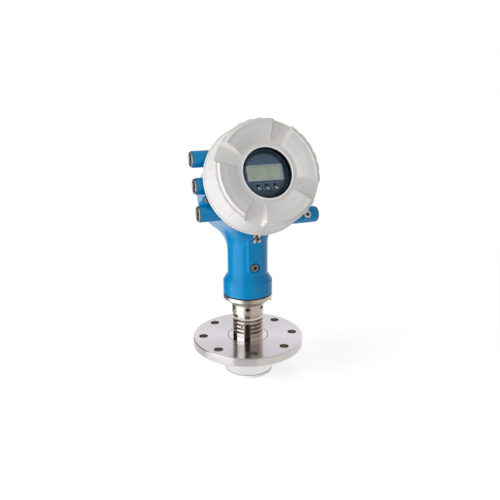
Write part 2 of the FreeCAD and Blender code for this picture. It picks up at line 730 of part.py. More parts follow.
def display_case():
    """Black cup of the display module, open to the front."""
    outer = disc(MODULE_R, MODULE_BACK, FACE_Z - 1)
    hollow = disc(FACE_PLATE_R + PLAY, MODULE_BACK + 3, FACE_Z)
    body = outer.cut(hollow)
    shelf_top = FACE_Z - FACE_PLATE_H
    return in_head(body.fuse(ring(FACE_PLATE_R - 3, MODULE_R - 1, shelf_top - LEDGE_H, shelf_top)))


def face_plate():
    plate = disc(FACE_PLATE_R, FACE_Z - FACE_PLATE_H, FACE_Z)
    return in_head(plate.cut(screen_box(-FRAME_WALL + PLAY, FACE_Z - FACE_PLATE_H - 1, FACE_Z + 1)))


def screen_frame():
    outer = screen_box(0, FACE_Z, FACE_Z + FRAME_PROUD)
    corners = [e for e in outer.Edges if e.BoundBox.ZLength > 1]
    outer = outer.makeFillet(1.5, corners)
    return in_head(outer.cut(screen_box(-FRAME_WALL, FACE_Z - 1, FACE_Z + FRAME_PROUD + 1)))


def screen_panel():
    return in_head(screen_box(-FRAME_WALL, FACE_Z - FACE_PLATE_H, FACE_Z - SCREEN_SUNK))


def touch_keys():
    half = KEY_SIZE / 2
    keys = []
    for x, y in key_places():
        key = block(x - half, x + half, y - half, y + half, FACE_Z, FACE_Z + KEY_PROUD)
        keys.append(in_head(key))
    return Part.makeCompound(keys)


def display_board():
    top = FACE_Z - FACE_PLATE_H - LEDGE_H
    board = disc(BOARD_R, top - BOARD_H, top)
    chips = [block(-18, 14, -12, 8, top - BOARD_H - 2.5, top - BOARD_H)]
    chips.append(block(-30, -22, -14, 14, top - BOARD_H - 5, top - BOARD_H))
    return in_head(join([board] + chips))


def standoff_places():
    return [math.radians(45 + 90 * k) for k in range(4)]


def carrier():
    """Moulded carrier: floor plate, four pillars under the display and two card ribs."""
    floor = CARRIER_Z0
    body = disc(CARRIER_R, floor, floor + CARRIER_H)
    body = body.cut(disc(PASSAGE_R, floor - 1, floor + CARRIER_H + 1, 0, PASSAGE_Y))
    half_gap = CARRIER_GAP_W / 2
    opening = block(-half_gap, half_gap, -CARRIER_R - 1, CARRIER_GAP_Y, floor - 1, floor + CARRIER_H + 1)
    body = body.cut(opening)
    body = body.cut(screw_holes(CARRIER_SCREWS, floor - 1, floor + CARRIER_H + 1))
    parts = [body]
    for turn in standoff_places():
        x, y = STANDOFF_PITCH_R * math.cos(turn), STANDOFF_PITCH_R * math.sin(turn)
        parts.append(disc(STANDOFF_R + 1.5, floor, MODULE_BACK, x, y))
    for x in (-RIB_X, RIB_X):
        parts.append(block(x - RIB_T / 2, x + RIB_T / 2, RIB_Y0, RIB_Y1, floor, floor + RIB_H))
    return in_head(join(parts))


def main_board():
    """Board between the two ribs with a processor and a row of capacitors."""
    low = CARRIER_Z0 + CARRIER_H + MAIN_BOARD_LIFT
    top = low + BOARD_H
    half = RIB_X - RIB_T / 2 - PLAY
    y0 = RIB_Y0 + MAIN_BOARD_MARGIN
    y1 = RIB_Y1 - MAIN_BOARD_MARGIN
    processor = block(-half + 5, half - 5, y0 + 8, y0 + 32, top, top + CHIP_H)
    capacitors = block(-half + 4, half - 6, y1 - 22, y1 - 6, top, top + CAP_H)
    return in_head(join([block(-half, half, y0, y1, low, top), processor, capacitors]))


def carrier_screws():
    screws = small_screws(CARRIER_SCREWS, CARRIER_H)
    return Part.makeCompound([in_head(shifted(screw, 0, 0, CARRIER_Z0 + CARRIER_H)) for screw in screws])


def terminal_places():
    gap = TERMINAL_L / TERMINAL_COUNT
    return [(TERMINAL_X, -TERMINAL_L / 2 + gap * (k + 0.5)) for k in range(TERMINAL_COUNT)]


def terminal_block():
    z0 = CARRIER_Z0 + CARRIER_H
    half = TERMINAL_L / 2
    body = block(TERMINAL_X - TERMINAL_W / 2, TERMINAL_X + TERMINAL_W / 2, -half, half, z0, z0 + TERMINAL_H)
    for x, y in terminal_places():
        body = body.cut(disc(TERMINAL_SCREW_R + PLAY, z0 + 8, z0 + TERMINAL_H + 1, x + 2, y))
        mouth = block(x - TERMINAL_W / 2 - 1, x - 3, y - 2.6, y + 2.6, z0 + 2.5, z0 + 7.5)
        body = body.cut(mouth)
    return in_head(body)


def terminal_screws():
    z0 = CARRIER_Z0 + CARRIER_H
    screw = disc(TERMINAL_SCREW_R, z0 + 8, z0 + TERMINAL_H - 2)
    slot = block(-TERMINAL_SCREW_R, TERMINAL_SCREW_R, -0.5, 0.5, z0 + TERMINAL_H - 3, z0 + TERMINAL_H)
    screw = screw.cut(slot)
    return Part.makeCompound([in_head(shifted(screw, x + 2, y, 0)) for x, y in terminal_places()])


def rear_cover():
    """Plain screw-in cover of the rear chamber with four gripping notches."""
    back = DRUM_BACK - PLAY
    seal_r = REAR_SPIGOT_R + 2
    land_top = back + REAR_LAND_H
    spigot_top = back + REAR_SPIGOT_H
    body = turned([
        (0, back - REAR_COVER_H), (REAR_COVER_R - 3, back - REAR_COVER_H),
        (REAR_COVER_R, back - REAR_COVER_H + 3), (REAR_COVER_R, back),
        (seal_r + REAR_SEAL_CORD, back), (seal_r + REAR_SEAL_CORD, back - REAR_SEAL_CORD),
        (seal_r, back - REAR_SEAL_CORD), (seal_r, back), (REAR_SPIGOT_R, back), (REAR_SPIGOT_R, land_top),
        (REAR_SPIGOT_R - THREAD_DEPTH, land_top + THREAD_DEPTH), (REAR_SPIGOT_R - THREAD_DEPTH, spigot_top),
        (REAR_SPIGOT_R - REAR_SPIGOT_WALL, spigot_top), (REAR_SPIGOT_R - REAR_SPIGOT_WALL, back - 3),
        (0, back - 3),
    ])
    low = back - REAR_COVER_H - 1
    half = REAR_NOTCH_W / 2
    notch = block(REAR_COVER_R - 16, REAR_COVER_R + 5, -half, half, low, low + REAR_NOTCH_DEPTH)
    for k in range(REAR_NOTCHES):
        body = body.cut(spun(notch, 45 + 90 * k))
    return in_head(body)


def rear_cover_seal():
    back = DRUM_BACK - PLAY
    cord = REAR_SEAL_CORD - 2 * FIT
    return in_head(cord_ring(REAR_SPIGOT_R + 2 + FIT, cord, back - REAR_SEAL_CORD + FIT))


def power_module():
    body = disc(POWER_R, POWER_Z0, REAR_FLOOR)
    body = body.cut(disc(PASSAGE_R + 2, POWER_Z0 - 1, REAR_FLOOR + 1, 0, PASSAGE_Y))
    half = POWER_NOTCH_W / 2
    body = body.cut(block(-half, half, -POWER_R - 1, POWER_NOTCH_Y, POWER_Z0 - 1, REAR_FLOOR + 1))
    body = body.cut(screw_holes(POWER_SCREWS, POWER_Z0 - 1, REAR_FLOOR + 1))
    return in_head(body.fuse(block(-20, 20, -12, 12, POWER_Z0 - 5, POWER_Z0)).removeSplitter())


def power_screws():
    screws = []
    for screw in small_screws(POWER_SCREWS, REAR_FLOOR - POWER_Z0):
        screw.rotate(vec(0, 0, 0), vec(1, 0, 0), 180)
        screws.append(in_head(shifted(screw, 0, 0, POWER_Z0)))
    return Part.makeCompound(screws)


def radar_module():
    rim = disc(ADAPTER_BORE_R - FIT, SPIGOT_TOP + PLAY, SPIGOT_TOP + PLAY + RADAR_RIM_H)
    return join([disc(RADAR_R, SPIGOT_TOP, RADAR_TOP), rim, disc(5.0, RADAR_TOP, RADAR_TOP + 6)])


def waveguide():
    return ring(GUIDE_BORE_R, GUIDE_R, HORN_THROAT_Z - 2 + FIT, SPIGOT_TOP)


def horn():
    """Steel antenna body: straight outside, feed cone inside."""
    mouth_z = HORN_BOTTOM + LENS_STEP_H
    return turned([
        (GUIDE_R + FIT, -FIT), (HORN_R - 0.8, -FIT), (HORN_R, -FIT - 0.8), (HORN_R, HORN_BOTTOM),
        (HORN_MOUTH_R + 2 + FIT, HORN_BOTTOM), (HORN_MOUTH_R + 2 + FIT, mouth_z), (HORN_MOUTH_R, mouth_z),
        (HORN_THROAT_R, HORN_THROAT_Z - 4), (HORN_THROAT_R, HORN_THROAT_Z - 2),
        (GUIDE_R + FIT, HORN_THROAT_Z - 2),
    ])


def lens():
    """Antenna lens: rim under the horn, step inside its mouth and a drip-off dome below."""
    step_top = HORN_BOTTOM + LENS_STEP_H - FIT
    rim_top = HORN_BOTTOM - LENS_SEAL_H
    sphere_r = (HORN_R ** 2 + LENS_DOME ** 2) / (2 * LENS_DOME)
    rim = disc(HORN_R, LENS_BOTTOM, rim_top).fuse(disc(HORN_MOUTH_R + 2, rim_top, step_top))
    ball = Part.makeSphere(sphere_r, vec(0, 0, LENS_BOTTOM - LENS_DOME + sphere_r))
    dome = ball.common(disc(HORN_R + 1, LENS_BOTTOM - LENS_DOME - 1, LENS_BOTTOM))
    return rim.fuse(dome).removeSplitter()


def lens_seal():
    return ring(HORN_MOUTH_R + 2 + PLAY, HORN_R - 0.6, HORN_BOTTOM - LENS_SEAL_H, HORN_BOTTOM)


NODES = {
    "flange": flange,
    "neck": neck,
    "adapter": adapter,
    "set_screws": set_screws,
    "bell_seal": bell_seal,
    "swivel_seal": swivel_seal,
    "retaining_ring": retaining_ring,
    "waveguide": waveguide,
    "radar_module": radar_module,
    "horn": horn,
    "lens": lens,
    "lens_seal": lens_seal,
    "housing": housing,
    "entry_plugs": entry_plugs,
    "plug_washers": plug_washers,
    "lock_screw": lock_screw,
    "earth_screw": earth_screw,
    "pad_screw": pad_screw,
    "clamp_plate": clamp_plate,
    "clamp_screw": clamp_screw,
    "front_cover": front_cover,
    "front_cover_seal": front_cover_seal,
    "window_glass": window_glass,
    "glass_seal": glass_seal,
    "glass_retainer": glass_retainer,
    "display_case": display_case,
    "face_plate": face_plate,
    "screen_frame": screen_frame,
    "screen_panel": screen_panel,
    "touch_keys": touch_keys,
    "display_board": display_board,
    "carrier": carrier,
    "carrier_screws": carrier_screws,
    "main_board": main_board,
    "terminal_block": terminal_block,
    "terminal_screws": terminal_screws,
    "rear_cover": rear_cover,
    "rear_cover_seal": rear_cover_seal,
    "power_module": power_module,
    "power_screws": power_screws,
}

os.makedirs("parts", exist_ok=True)
for name, make in NODES.items():
    shifted(make(), 0, 0, -FACE_H).exportStep("parts/" + name + ".step")
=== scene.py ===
"""Looks for the radar level transmitter: materials, small details, studio and camera.

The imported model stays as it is: everything here rides on it or stands around it.
"""

import math

import bmesh
import bpy
from mathutils import Matrix, Vector

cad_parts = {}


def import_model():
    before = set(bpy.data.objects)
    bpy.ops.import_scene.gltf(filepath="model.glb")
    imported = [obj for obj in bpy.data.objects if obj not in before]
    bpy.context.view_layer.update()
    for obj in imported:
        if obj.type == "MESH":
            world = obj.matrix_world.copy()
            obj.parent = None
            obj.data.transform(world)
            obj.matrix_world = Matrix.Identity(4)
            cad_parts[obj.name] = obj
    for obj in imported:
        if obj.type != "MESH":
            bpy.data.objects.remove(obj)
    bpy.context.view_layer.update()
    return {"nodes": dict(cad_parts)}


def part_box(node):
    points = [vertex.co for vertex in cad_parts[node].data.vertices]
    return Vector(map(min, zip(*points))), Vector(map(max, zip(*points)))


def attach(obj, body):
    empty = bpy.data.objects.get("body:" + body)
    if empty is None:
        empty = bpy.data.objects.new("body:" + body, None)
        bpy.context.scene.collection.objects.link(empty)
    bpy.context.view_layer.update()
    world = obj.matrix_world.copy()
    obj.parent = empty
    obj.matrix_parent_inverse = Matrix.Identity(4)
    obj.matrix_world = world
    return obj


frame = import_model()

MM = 0.001

# Head frame: x across, y up the display, z out through the window
TILT = math.radians(23.0)
HEAD_Z = 318.7
HEAD = Matrix.Translation((0, 0, HEAD_Z * MM)) @ Matrix.Rotation(math.pi / 2 - TILT, 4, "X")

# Front frame: x across, y up, z level out of the front of the column
FRONT = Matrix.Rotation(math.pi / 2, 4, "X")

# Camera that matches the photograph
CAMERA_AT = (-0.3835, -1.0587, 0.539)
CAMERA_LOOK = (0.3296, 0.8977, -0.2924)
CAMERA_ROLL = math.radians(-0.26)
CAMERA_LENS = 43.63
CAMERA_SENSOR = 36.0

# Paint, metal and plastic colours, linear
COVER_GREY = (0.72, 0.705, 0.685)
HOUSING_BLUE = (0.0, 0.220, 0.490)
STEEL = (0.66, 0.61, 0.55)
FLANGE_STEEL = (0.70, 0.665, 0.70)
RIM_STEEL = (0.70, 0.685, 0.67)
# painted shade inside the flange's drilled holes
HOLE_SHADE_STEEL = (0.34, 0.30, 0.26)
DARK_SLATE = (0.052, 0.083, 0.122)
NAVY_BLACK = (0.004, 0.007, 0.014)
SCREEN_GREEN = (0.265, 0.280, 0.222)
KEY_LINE = (0.19, 0.24, 0.28)

# Face behind the window: share of the dark tone over the keys, and where the painted shade towards its border
# grows
KEY_ZONE_SHADE = 0.55
KEY_ZONE = ((HEAD_Z + 12) * MM, (HEAD_Z + 30) * MM)
FACE_PAINTED_SHADE = (35 * MM, 40 * MM)

# Noise textures lie mostly between these two values; the clouds, marks and smears have the richer detail
NOISE_LOW = 0.3
NOISE_HIGH = 0.7
PLAIN_DETAIL = 2.0
RICH_DETAIL = 3.0

# Noise scales: cloudy tone, dull patches and fine relief, tool marks, smears on the window
PAINT_CLOUD = 14.0
PAINT_DULL = 90.0
PAINT_PEEL = 2600.0
METAL_CLOUD = 40.0
TURNED_MARKS = 900.0
BRUSHED_MARKS = 1500.0
BRUSHED_STRETCH = (1, 1, 0.05)
PLAIN_MARKS = 1200.0
PLASTIC_CLOUD = 60.0
PLASTIC_DULL = 200.0
PLASTIC_GRAIN = 1800.0
SMEARS = 25.0

# Strength and distance of the fine relief
PAINT_RELIEF = (0.12, 0.00025)
METAL_RELIEF = (0.10, 0.00005)
FLANGE_RELIEF = (0.05, 0.00003)
PLASTIC_RELIEF = (0.15, 0.0001)

# Radii to which the shading rounds sharp edges
COVER_EDGE = 1.1 * MM
CAST_EDGE = 0.9 * MM
FLANGE_EDGE = 0.5 * MM
METAL_EDGE = 0.4 * MM
FINE_EDGE = 0.3 * MM

# Laid rings are given by inner radius, outer radius and steps. LAID is their height above the face that
# carries them, and points nearer than WELD become one.
LAID = 0.04
WELD = 0.01

# Flange, neck foot and collar with its set screws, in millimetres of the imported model
FLANGE_R = 110.0
FOOT_TOP = 17.0
FOOT_R = 40.0
FOOT_SEAM_SHADOW = (FOOT_R - 0.5, FOOT_R + 0.7, 96)
COLLAR_R = 31.4
SET_SCREW_Z = 81.5
SET_SCREW_R = 2.9
SET_SCREW_ANGLES = range(10, 370, 60)
# dark ring of painted shade round each set screw
SET_SCREW_SHADE_RIM = (SET_SCREW_R - 0.05, SET_SCREW_R + 0.6, 32)
RIM_STRETCH = 1.4

# Where the flange changes its tone: facing of a wall and of a level face, radii just inside the rim, heights
# just above the top; and the change of roughness in the drilled walls
WALL_FACING = (0.3, 0.6)
RIM_START = ((FLANGE_R - 3) * MM, (FLANGE_R - 2) * MM)
TOP_END = ((FOOT_TOP + 0.2) * MM, (FOOT_TOP + 0.4) * MM)
DRILLED_POLISH = -0.12

# Clamp plate on the column: centre, front face and dark ring of painted shade, in millimetres of the front
# frame
CLAMP_AT = (2.6, 229.0)
CLAMP_FACE = 44.6
CLAMP_DARK = (3.2, 7.1, 48)

# Keys, in millimetres of the head: printed squares, and the round field and slanted bar of each
KEY_CENTRES = (-16.0, 0.0, 16.0)
KEY_Y = -21.0
KEY_SQUARE_HALF = 6.1
KEY_LINE_W = 0.45
KEY_DOT = (-0.6, 1.9)
KEY_DOT_R = 2.2
KEY_DOT_CORNERS = 24
KEY_BAR = ((-1.6, -1.5), (0.8, -0.9), (4.4, -3.7), (2.1, -4.8))
KEY_FACE = 99.2
PRINT = (KEY_FACE - 0.05, KEY_FACE + 0.08)

# Ring that frames the window: radius and height of its corners, in millimetres of the head
WINDOW_RIM = ((44.86, 113.9), (45.65, 114.65), (46.85, 114.65), (47.66, 113.9))
WINDOW_RIM_STEPS = 160

# Hexagon sockets: frame of the screw, width across flats, depth. Their floor carries a dark sheet of painted
# shade that keeps a gap to the flats.
SOCKETS = {
    "pad_screw": (FRONT, 7.0, 2.7),
    "clamp_screw": (FRONT, 4.5, 2.05),
    "lock_screw": (HEAD, 5.4, 1.65),
    "earth_screw": (HEAD, 6.6, 1.65),
}
SOCKET_GAP = 0.1
SOCKET_FLOOR = (-0.05, 0.3)

# Threads of the covers: radius of the core or bore, and the heights between which the ridge runs
THREAD_PITCH = 2.0
THREAD_DEPTH = 1.15
REAR_THREAD_DEPTH = 1.05
SPOUT_CORE = 86.0
SPOUT_THREAD = (65.6, 73.4)
COVER_BORE = 87.55
COVER_THREAD = (65.8, 76.4)
REAR_CORE = 62.8
REAR_THREAD = (-79.6, -70.6)

# Ridge: half its width over its depth, half its flat crest, what its foot adds to that width and how deep it
# is sunk; steps a turn, and steps over which it fades at each end, down to these shares of height and width
RIDGE_FLANK = 0.577
RIDGE_CREST = 0.12
RIDGE_FOOT = 0.05
RIDGE_SUNK = 0.15
RIDGE_STEPS = 60
RIDGE_FADE = 20
RIDGE_LOWEST = 0.05
RIDGE_NARROWEST = 0.2

FLOOR_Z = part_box("lens")[0].z

# Soft boxes: azimuth, distance and height, then width and height, then watts
LAMP_TARGET = (0, 0, 0.22)
LAMPS = {
    "key": ((-63, 2.2, 0.5), (1.6, 1.4), 48.0),
    "front": ((10, 2.4, 1.0), (1.6, 1.2), 16.0),
    "top": ((150, 0.5, 2.1), (1.6, 1.6), 8.0),
}

# Even light of the background, and the floor: its reach, its tones near and far, its own light
AMBIENT = 0.33
FLOOR_HALF = 8.0
FLOOR_FADE = (0.25, 1.4)
FLOOR_TONE = (0.80, 0.80, 0.80)
FLOOR_FAR_TONE = (0.05, 0.05, 0.05)
FLOOR_GLOW = 0.50
FLOOR_FILL = 0.25

# Studio cards that show in polished metal: azimuth from, azimuth to, low edge, high edge, tone
CARD_R = 1.9
CARD_LOW = -1.2
CARD_MID = 1.0
CARD_HIGH = 2.2
CARD_STEP = 4
BLACK_CARD = (0.004, 0.004, 0.004)
CARDS = {
    "card_camera": (-26, 18, CARD_LOW, CARD_HIGH, BLACK_CARD),
    "card_softbox": (-89, -29, CARD_LOW, CARD_HIGH, (2.3, 2.35, 2.45)),
    "card_left": (-145, -90, CARD_LOW, CARD_HIGH, BLACK_CARD),
    "card_right": (18, 108, CARD_LOW, CARD_HIGH, (0.62, 0.56, 0.49)),
    "card_far_right": (108, 134, CARD_LOW, CARD_HIGH, (0.80, 0.78, 0.75)),
    "card_back_high": (134, 215, CARD_MID, CARD_HIGH, (0.78, 0.78, 0.80)),
}

# Round level sheets: radius, height, tone
SHEETS = {
    "floor_sheet": (0.34, FLOOR_Z, (0.85, 0.84, 0.83)),
    "ceiling_sheet": (CARD_R, CARD_HIGH, (0.55, 0.55, 0.57)),
}

# Sockets of the mix node, by number because their names repeat
MIX_FACTOR = 0
MIX_NUMBERS = (2, 3)
MIX_COLOURS = (6, 7)
MIX_COLOUR_OUT = 2


def node(tree, kind, **values):
    """New shader node with its inputs set by name."""
    made = tree.nodes.new(kind)
    for name, value in values.items():
        made.inputs[name.replace("_", " ")].default_value = value
    return made


def maths(tree, operation, *terms):
    """Math node on sockets and numbers."""
    made = tree.nodes.new("ShaderNodeMath")
    made.operation = operation
    for socket, term in zip(made.inputs, terms):
        if isinstance(term, float):
            socket.default_value = term
        else:
            tree.links.new(term, socket)
    return made.outputs[0]


def vector_maths(tree, operation, vector, constant=None):
    """Vector node on a socket and, where the operation needs one, a fixed vector."""
    made = tree.nodes.new("ShaderNodeVectorMath")
    made.operation = operation
    tree.links.new(vector, made.inputs[0])
    if constant is not None:
        made.inputs[1].default_value = constant
    return made.outputs["Value" if operation == "LENGTH" else "Vector"]


def axes(tree, vector):
    """X, Y and Z of a vector socket."""
    split = tree.nodes.new("ShaderNodeSeparateXYZ")
    tree.links.new(vector, split.inputs[0])
    return split.outputs


def colour(rgb):
    return (rgb[0], rgb[1], rgb[2], 1.0)


def darker(rgb, share):
    return [part * share for part in rgb]


def new_material(name):
    material = bpy.data.materials.new(name)
    material.use_nodes = True
    tree = material.node_tree
    tree.nodes.clear()
    shader = tree.nodes.new("ShaderNodeBsdfPrincipled")
    output = tree.nodes.new("ShaderNodeOutputMaterial")
    tree.links.new(shader.outputs[0], output.inputs[0])
    return material, tree, shader


def place(tree, scale=(1, 1, 1)):
    """Object position, stretched."""
    coords = tree.nodes.new("ShaderNodeTexCoord")
    mapping = node(tree, "ShaderNodeMapping", Scale=scale)
    tree.links.new(coords.outputs["Object"], mapping.inputs["Vector"])
    return mapping.outputs[0]


def noise(tree, vector, scale, detail=PLAIN_DETAIL):
    texture = node(tree, "ShaderNodeTexNoise", Scale=scale, Detail=detail)
    tree.links.new(vector, texture.inputs["Vector"])
    return texture.outputs["Fac"]


def remap(tree, value, low, high, out_low, out_high):
    span = node(tree, "ShaderNodeMapRange", From_Min=low, From_Max=high, To_Min=out_low, To_Max=out_high)
    tree.links.new(value, span.inputs["Value"])
    return span.outputs[0]


def spread(tree, texture, low=0.0, high=1.0):
    """Noise stretched so that it runs from low to high."""
    return remap(tree, texture, NOISE_LOW, NOISE_HIGH, low, high)


def mixed(tree, factor, under, over):
    """Colour over laid on the colour under, which is a plain colour or a socket."""
    mix = tree.nodes.new("ShaderNodeMix")
    mix.data_type = "RGBA"
    first, second = (mix.inputs[k] for k in MIX_COLOURS)
    if isinstance(under, bpy.types.NodeSocket):
        tree.links.new(under, first)
    else:
        first.default_value = colour(under)
    second.default_value = colour(over)
    tree.links.new(factor, mix.inputs[MIX_FACTOR])
    return mix.outputs[MIX_COLOUR_OUT]


def cloudy(tree, vector, scale):
    """Soft patches that run from 0 to 1."""
    return spread(tree, noise(tree, vector, scale, RICH_DETAIL))


def bump(tree, shader, height, relief, under=None):
    """Fine relief, given by strength and distance, on the shading normal under or on the plain one."""
    strength, distance = relief
    raised = node(tree, "ShaderNodeBump", Strength=strength, Distance=distance)
    tree.links.new(height, raised.inputs["Height"])
    if under is not None:
        tree.links.new(under, raised.inputs["Normal"])
    tree.links.new(raised.outputs[0], shader.inputs["Normal"])


def soft_edges(tree, radius):
    """Normal that rounds sharp edges."""
    bevel = node(tree, "ShaderNodeBevel", Radius=radius)
    bevel.samples = 6
    return bevel.outputs[0]


def paint(name, base, shade, rough, gloss=0.5, edge=CAST_EDGE):
    """Powder coat: faint orange peel, cloudy tone and softly rounded edges."""
    material, tree, shader = new_material(name)
    spot = place(tree)
    tone = mixed(tree, cloudy(tree, spot, PAINT_CLOUD), base, shade)
    dull = spread(tree, noise(tree, spot, PAINT_DULL), rough - 0.04, rough + 0.05)
    shader.inputs["Specular IOR Level"].default_value = gloss
    tree.links.new(tone, shader.inputs["Base Color"])
    tree.links.new(dull, shader.inputs["Roughness"])
    bump(tree, shader, noise(tree, spot, PAINT_PEEL), PAINT_RELIEF, soft_edges(tree, edge))
    return material


def radius_of(tree, spot):
    """Distance from the neck axis."""
    flat = tree.nodes.new("ShaderNodeCombineXYZ")
    tree.links.new(spot["X"], flat.inputs["X"])
    tree.links.new(spot["Y"], flat.inputs["Y"])
    return vector_maths(tree, "LENGTH", flat.outputs[0])


def lathe_marks(tree, radius, height, streak):
    """Noise that runs round the neck axis, as turning leaves it."""
    flat = tree.nodes.new("ShaderNodeCombineXYZ")
    tree.links.new(radius, flat.inputs["X"])
    tree.links.new(height, flat.inputs["Z"])
    return noise(tree, flat.outputs[0], streak, RICH_DETAIL)


def steel(name, base, rough, streak=TURNED_MARKS, turned=True, foot=None):
    """Turned or brushed steel with fine tool marks; foot is its colour below the flange's top."""
    material, tree, shader = new_material(name)
    spot = axes(tree, place(tree))
    if turned:
        marks = lathe_marks(tree, radius_of(tree, spot), spot["Z"], streak)
    else:
        marks = noise(tree, place(tree, BRUSHED_STRETCH), streak, RICH_DETAIL)
    tone = mixed(tree, cloudy(tree, place(tree), METAL_CLOUD), base, darker(base, 0.92))
    if foot:
        low = remap(tree, spot["Z"], *TOP_END, 1.0, 0.0)
        tone = mixed(tree, low, tone, foot)
    shader.inputs["Metallic"].default_value = 1.0
    tree.links.new(tone, shader.inputs["Base Color"])
    tree.links.new(spread(tree, marks, rough - 0.05, rough + 0.06), shader.inputs["Roughness"])
    bump(tree, shader, marks, METAL_RELIEF, soft_edges(tree, METAL_EDGE))
    return material


def flange_face(name, base, rough):
    """Faced flange: nearly a mirror on top, with faint lathe rings, and painted shade that darkens the
    drilled holes.
    """
    material, tree, shader = new_material(name)
    around_axis = tree.nodes.new("ShaderNodeTangent")
    around_axis.direction_type = "RADIAL"
    around_axis.axis = "Z"
    spot = axes(tree, place(tree))
    reach = radius_of(tree, spot)
    rings = lathe_marks(tree, reach, spot["Z"], TURNED_MARKS)
    facing = axes(tree, tree.nodes.new("ShaderNodeTexCoord").outputs["Normal"])
    wall = remap(tree, maths(tree, "ABSOLUTE", facing["Z"]), *WALL_FACING, 1.0, 0.0)
    inside = remap(tree, reach, *RIM_START, 1.0, 0.0)
    drilled = maths(tree, "MULTIPLY", wall, inside)
    # the drilled walls take a darker tone: painted shade inside the holes
    tone = mixed(tree, drilled, mixed(tree, wall, base, RIM_STEEL), HOLE_SHADE_STEEL)
    dull = spread(tree, rings, rough - 0.03, rough + 0.04)
    polished = maths(tree, "MULTIPLY_ADD", drilled, DRILLED_POLISH, dull)
    shader.inputs["Metallic"].default_value = 1.0
    shader.inputs["Anisotropic"].default_value = 0.93
    shader.inputs["Anisotropic Rotation"].default_value = 0.25
    tree.links.new(around_axis.outputs[0], shader.inputs["Tangent"])
    tree.links.new(tone, shader.inputs["Base Color"])
    tree.links.new(polished, shader.inputs["Roughness"])
    bump(tree, shader, rings, FLANGE_RELIEF, soft_edges(tree, FLANGE_EDGE))
    return material


def eroded(tree, shader, spot, rough, under=None):
    """Dull patches and fine grain of a moulded face."""
    dull = spread(tree, noise(tree, spot, PLASTIC_DULL), rough - 0.05, rough + 0.05)
    tree.links.new(dull, shader.inputs["Roughness"])
    bump(tree, shader, noise(tree, spot, PLASTIC_GRAIN), PLASTIC_RELIEF, under)


def moulding(name, base, rough, gloss=0.5):
    """Moulded plastic or rubber with a fine eroded grain."""
    material, tree, shader = new_material(name)
    spot = place(tree)
    tone = mixed(tree, cloudy(tree, spot, PLASTIC_CLOUD), base, darker(base, 0.88))
    shader.inputs["Specular IOR Level"].default_value = gloss
    tree.links.new(tone, shader.inputs["Base Color"])
    eroded(tree, shader, spot, rough, soft_edges(tree, FINE_EDGE))
    return material


def slate_face_with_painted_shade(name, base, dark_tone, rough):
    """Slate face, darker in the lower half that holds the keys, with painted shade that darkens it towards
    its border.
    """
    material, tree, shader = new_material(name)
    spot = place(tree)
    from_centre = vector_maths(tree, "SUBTRACT", spot, HEAD.translation)
    across = vector_maths(tree, "CROSS_PRODUCT", from_centre, HEAD.col[2].to_3d())
    reach = vector_maths(tree, "LENGTH", across)
    # darker towards the bottom, over the keys
    low = remap(tree, axes(tree, spot)["Z"], *KEY_ZONE, KEY_ZONE_SHADE, 0.0)
    # painted shade: the face darkens towards the rim of its recess
    edge = remap(tree, reach, *FACE_PAINTED_SHADE, 0.0, 1.0)
    slate = mixed(tree, cloudy(tree, spot, PLASTIC_CLOUD), base, darker(base, 0.9))
    tone = mixed(tree, edge, mixed(tree, low, slate, dark_tone), dark_tone)
    shader.inputs["Specular IOR Level"].default_value = 0.2
    tree.links.new(tone, shader.inputs["Base Color"])
    eroded(tree, shader, spot, rough)
    return material


def glass(name):
    """Clear window with faint smears; it hardly bends the light, so the face behind stays in place."""
    material, tree, shader = new_material(name)
    shader.inputs["Base Color"].default_value = (0.93, 0.97, 0.98, 1)
    shader.inputs["Transmission Weight"].default_value = 1.0
    shader.inputs["IOR"].default_value = 1.02
    smear = spread(tree, noise(tree, place(tree), SMEARS, RICH_DETAIL), 0.0, 0.03)
    tree.links.new(smear, shader.inputs["Roughness"])
    return material


PAINT_GREY = paint("cover_paint", COVER_GREY, darker(COVER_GREY, 0.97), 0.42, edge=COVER_EDGE)
# lighter paint for the ring round the window: a painted highlight
RIM_HIGHLIGHT_PAINT = paint("rim_highlight_paint", (0.93, 0.925, 0.915), (0.90, 0.895, 0.885), 0.35, edge=FINE_EDGE)
PAINT_BLUE = paint("housing_paint", HOUSING_BLUE, darker(HOUSING_BLUE, 0.94), 0.23, gloss=0.26)
STEEL_TURNED = steel("turned_steel", STEEL, 0.07, foot=FLANGE_STEEL)
STEEL_ADAPTER = steel("adapter_steel", (0.74, 0.69, 0.62), 0.35)
STEEL_DARK = steel("dark_steel", (0.10, 0.09, 0.08), 0.40, BRUSHED_MARKS, turned=False)
STEEL_HORN = steel("horn_steel", (0.93, 0.92, 0.91), 0.30)
STEEL_FLANGE = flange_face("flange_steel", FLANGE_STEEL, 0.20)
STEEL_SCREW = steel("screw_steel", (0.80, 0.77, 0.72), 0.34, BRUSHED_MARKS, turned=False)
STEEL_PLUG = steel("plug_steel", (0.46, 0.43, 0.39), 0.30, BRUSHED_MARKS, turned=False)
STEEL_SHADED = steel("shaded_steel", (0.33, 0.30, 0.27), 0.36, BRUSHED_MARKS, turned=False)
STEEL_BRIGHT = steel("bright_steel", (0.86, 0.85, 0.83), 0.2, BRUSHED_MARKS, turned=False)
ALUMINIUM = steel("plain_aluminium", (0.70, 0.70, 0.71), 0.35, PLAIN_MARKS, turned=False)
RUBBER = moulding("seal_rubber", (0.012, 0.018, 0.035), 0.6)
WHITE_PTFE = moulding("white_ptfe", (0.86, 0.86, 0.85), 0.45)
SLATE = slate_face_with_painted_shade("slate_face", DARK_SLATE, NAVY_BLACK, 0.45)
CASE = moulding("case_plastic", (0.026, 0.040, 0.062), 0.5, gloss=0.15)
BLACK = moulding("black_plastic", NAVY_BLACK, 0.5, gloss=0.1)
FRAME_GREY = moulding("frame_plastic", (0.27, 0.30, 0.31), 0.35, gloss=0.3)
